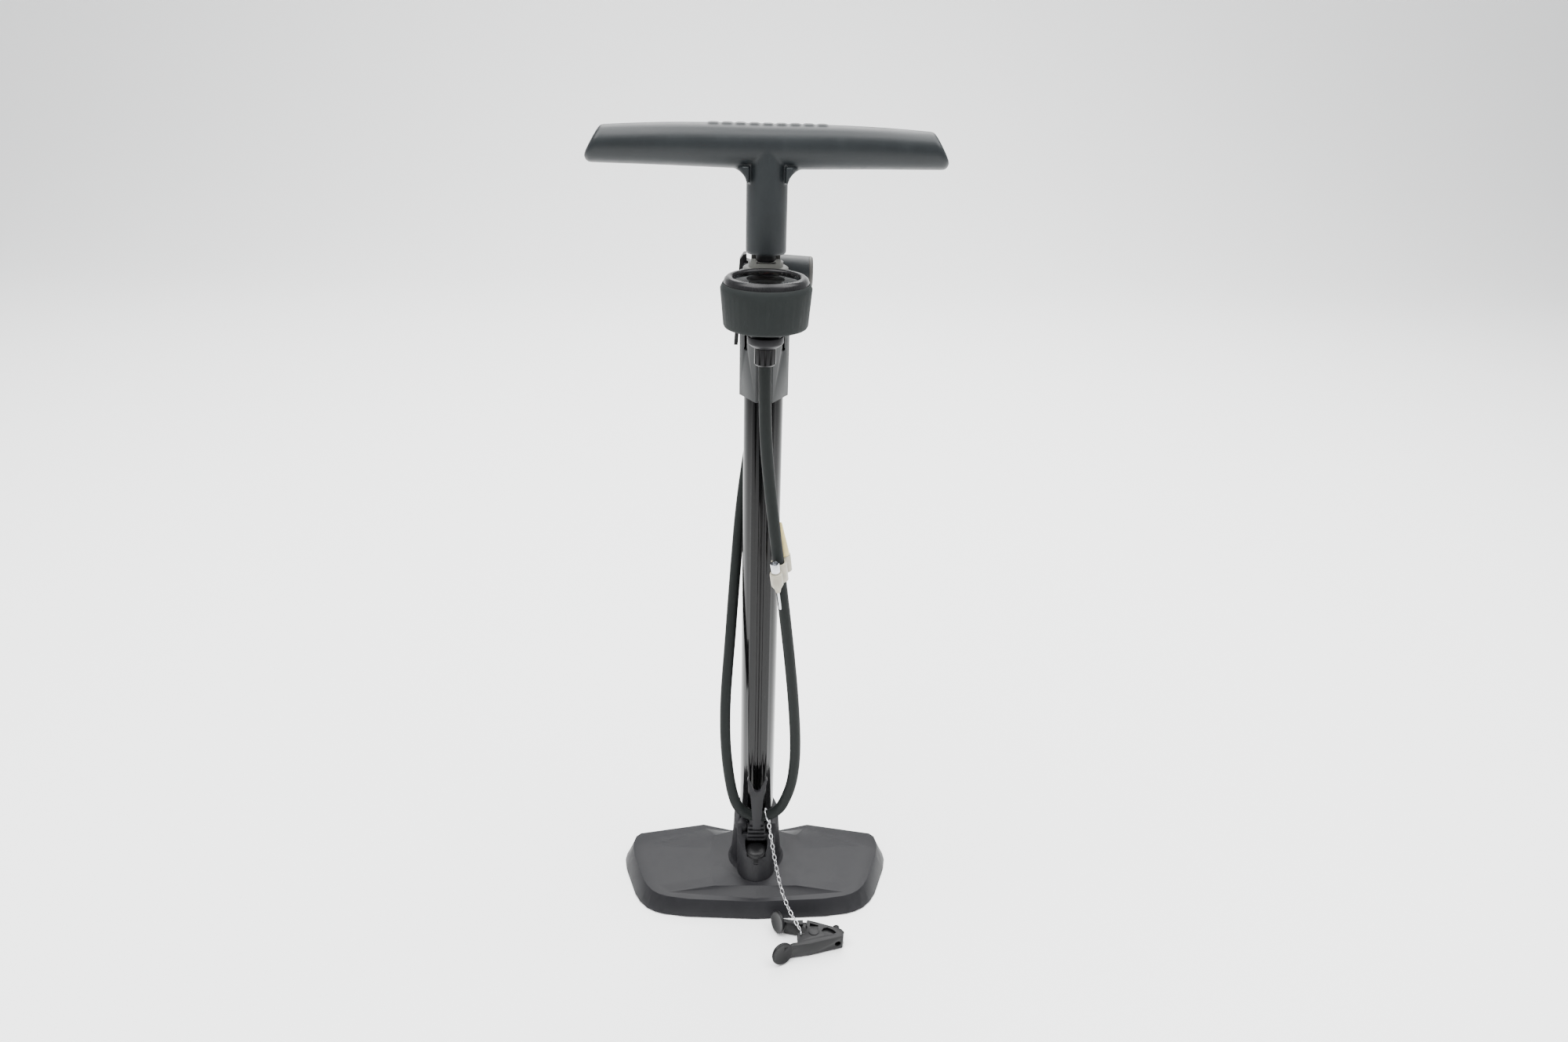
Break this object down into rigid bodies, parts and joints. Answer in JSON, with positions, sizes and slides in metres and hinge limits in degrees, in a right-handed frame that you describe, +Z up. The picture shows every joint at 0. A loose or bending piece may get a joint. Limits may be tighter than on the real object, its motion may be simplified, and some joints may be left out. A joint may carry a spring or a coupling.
{
  "type": "bicycle floor pump",
  "caption": "Upright floor pump for bicycle tyres: wide T handle, slim barrel with a pressure gauge on its collar, weighted foot plate, hose hung on a hook, clip and adapters.",
  "frame": {"origin": "on the barrel's axis, at the floor, on the underside of the centre foot", "axes": "+Z up along the barrel, -Y to the front where the gauge faces, +X to the right"},
  "size_m": [0.2578, 0.167, 0.6817],
  "materials": {
    "base_plastic": "satin",
    "foot_rubber": "matte",
    "seal_rubber": "matte",
    "barrel_paint": "gloss",
    "steel": "satin",
    "chrome_steel": "polished",
    "brass": "satin",
    "black_plastic": "satin",
    "collar_plastic": "satin",
    "cap_plastic": "satin",
    "boot_rubber": "matte",
    "bezel_plastic": "gloss",
    "lens": "clear",
    "dial_print": "satin",
    "pointer_paint": "satin",
    "hose_rubber": "matte",
    "handle_grip": "satin",
    "white_plastic": "translucent satin",
    "yellow_plastic": "satin",
    "light_plastic": "satin",
    "piston_plastic": "satin"
  },
  "bodies": {
    "pump_body": {"base": "base_plastic", "base_feet": "foot_rubber", "centre_foot": "foot_rubber", "barrel_bolt": "steel", "barrel": "barrel_paint", "barrel_plug": "black_plastic", "plug_seal": "seal_rubber", "check_valve_spring": "steel", "valve_cap": "black_plastic", "valve_cap_seal": "seal_rubber", "hose_hook": "base_plastic", "collar": "collar_plastic", "top_cap": "cap_plastic", "cap_seal": "seal_rubber", "rod_bushing": "piston_plastic", "gauge_case": "black_plastic", "gauge_boot": "boot_rubber", "gauge_bezel": "bezel_plastic", "gauge_lens": "lens", "gauge_dial": "dial_print", "gauge_socket": "brass", "bourdon_tube": "brass", "gauge_frame": "brass", "gauge_manifold": "base_plastic", "hose_nut": "black_plastic", "hose_tail": "brass", "head_body": "handle_grip", "head_lever_pin": "steel", "head_gasket": "seal_rubber", "head_nose": "light_plastic", "head_ferrule": "black_plastic", "head_clip": "black_plastic", "hose": "hose_rubber", "chain": "chrome_steel", "hose_ring": "chrome_steel", "adapter_holder": "white_plastic", "clip_body": "black_plastic", "clip_pin": "steel", "clip_spring": "steel", "chain_end_ring": "chrome_steel"},
    "check_valve": {"check_valve_disc": "seal_rubber"},
    "piston": {"piston_seal": "seal_rubber"},
    "handle_set": {"handle": "handle_grip", "handle_insert": "brass", "rod_bumper": "seal_rubber", "piston_rod": "chrome_steel", "piston_head": "piston_plastic", "piston_nut": "steel"},
    "sector": {"gauge_sector": "brass"},
    "pointer": {"gauge_pointer": "pointer_paint", "pointer_arbor": "steel"},
    "lever": {"head_lever": "black_plastic"},
    "plunger": {"head_plunger": "piston_plastic"},
    "clip_arm": {"clip_lever": "black_plastic"},
    "needle": {"ball_needle": "chrome_steel"},
    "cone": {"cone_nozzle": "yellow_plastic"}
  },
  "joints": [
    {"name": "pump_stroke", "type": "slide", "parent": "pump_body", "child": "piston", "axis": [0, 0, 1], "range_m": [0, 0.486]},
    {"name": "handle_turn", "type": "hinge", "parent": "piston", "child": "handle_set", "pos_m": [0, 0, 0.6], "axis": [0, 0, 1], "continuous": true},
    {"name": "check_valve_lift", "type": "slide", "parent": "pump_body", "child": "check_valve", "axis": [0, 0, 1], "range_m": [0, 0.0015], "stiffness_N_per_m": 150, "springref_m": -0.001, "deforming": ["check_valve_spring"]},
    {"name": "sector_turn", "type": "hinge", "parent": "pump_body", "child": "sector", "pos_m": [-0.0138, -0.048, 0.559], "axis": [0, 0, 1], "range_deg": [0, 40.5], "stiffness_Nm_per_rad": 0.004},
    {"name": "pointer_turn", "type": "hinge", "parent": "pump_body", "child": "pointer", "pos_m": [0, -0.048, 0.57], "axis": [0, 0, -1], "range_deg": [0, 271]},
    {"name": "lever_swing", "type": "hinge", "parent": "pump_body", "child": "lever", "pos_m": [-0.012, 0.033, 0.574], "axis": [0, 1, 0], "range_deg": [0, 90]},
    {"name": "plunger_push", "type": "slide", "parent": "pump_body", "child": "plunger", "axis": [1, 0, 0], "range_m": [0, 0.0031]},
    {"name": "clip_squeeze", "type": "hinge", "parent": "pump_body", "child": "clip_arm", "pos_m": [0.0515, -0.0905, 0.01], "axis": [0, 0, 1], "range_deg": [0, 16], "stiffness_Nm_per_rad": 0.05, "springref_deg": -11.46},
    {"name": "needle_pull", "type": "slide", "parent": "pump_body", "child": "needle", "axis": [-0.129, -0.0555, 0.9901], "range_m": [0, 0.04]},
    {"name": "cone_pull", "type": "slide", "parent": "pump_body", "child": "cone", "axis": [-0.129, -0.0555, 0.9901], "range_m": [0, 0.03]}
  ],
  "couplings": [
    {"joint": "pointer_turn", "follows": "sector_turn", "ratio": 6.6667},
    {"joint": "plunger_push", "follows": "lever_swing", "m_per_rad": 0.0019099}
  ]
}
